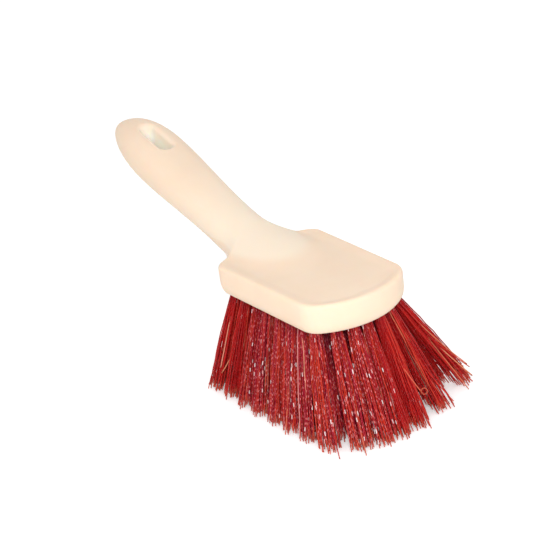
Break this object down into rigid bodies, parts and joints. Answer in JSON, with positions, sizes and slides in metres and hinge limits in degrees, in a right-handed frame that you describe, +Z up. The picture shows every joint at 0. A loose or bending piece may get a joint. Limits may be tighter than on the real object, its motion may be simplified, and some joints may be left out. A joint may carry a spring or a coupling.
{
  "type": "acid brush",
  "caption": "Short-handled hand scrub brush: a moulded block and handle in one body, with a hang slot near the handle's end and fanned tufts of stiff filament under the head.",
  "frame": {"origin": "middle of the head's flat top face", "axes": "+X along the head towards the nose, away from the handle; +Y to the brush's far side in the picture; +Z up out of the head's flat top, away from the fill"},
  "size_m": [0.2346, 0.0949, 0.1071],
  "materials": {
    "block": "fine satin moulding, cream",
    "bristle": "crimped glossy filament, deep red"
  },
  "bodies": {
    "root": {"block": "block", "tuft_1_1": "bristle", "tuft_1_2": "bristle", "tuft_1_3": "bristle", "tuft_1_4": "bristle", "tuft_1_5": "bristle", "tuft_1_6": "bristle", "tuft_1_7": "bristle", "tuft_2_1": "bristle", "tuft_2_2": "bristle", "tuft_2_3": "bristle", "tuft_2_4": "bristle", "tuft_2_5": "bristle", "tuft_2_6": "bristle", "tuft_2_7": "bristle", "tuft_3_1": "bristle", "tuft_3_2": "bristle", "tuft_3_3": "bristle", "tuft_3_4": "bristle", "tuft_3_5": "bristle", "tuft_3_6": "bristle", "tuft_3_7": "bristle", "tuft_4_1": "bristle", "tuft_4_2": "bristle", "tuft_4_3": "bristle", "tuft_4_4": "bristle", "tuft_4_5": "bristle", "tuft_4_6": "bristle", "tuft_4_7": "bristle", "tuft_5_1": "bristle", "tuft_5_2": "bristle", "tuft_5_3": "bristle", "tuft_5_4": "bristle", "tuft_5_5": "bristle", "tuft_5_6": "bristle", "tuft_5_7": "bristle", "tuft_6_1": "bristle", "tuft_6_2": "bristle", "tuft_6_3": "bristle", "tuft_6_4": "bristle", "tuft_6_5": "bristle", "tuft_6_6": "bristle", "tuft_6_7": "bristle", "tuft_7_1": "bristle", "tuft_7_2": "bristle", "tuft_7_3": "bristle", "tuft_7_4": "bristle", "tuft_7_5": "bristle", "tuft_7_6": "bristle", "tuft_7_7": "bristle", "tuft_8_1": "bristle", "tuft_8_2": "bristle", "tuft_8_3": "bristle", "tuft_8_4": "bristle", "tuft_8_5": "bristle", "tuft_8_6": "bristle", "tuft_8_7": "bristle"}
  },
  "joints": []
}
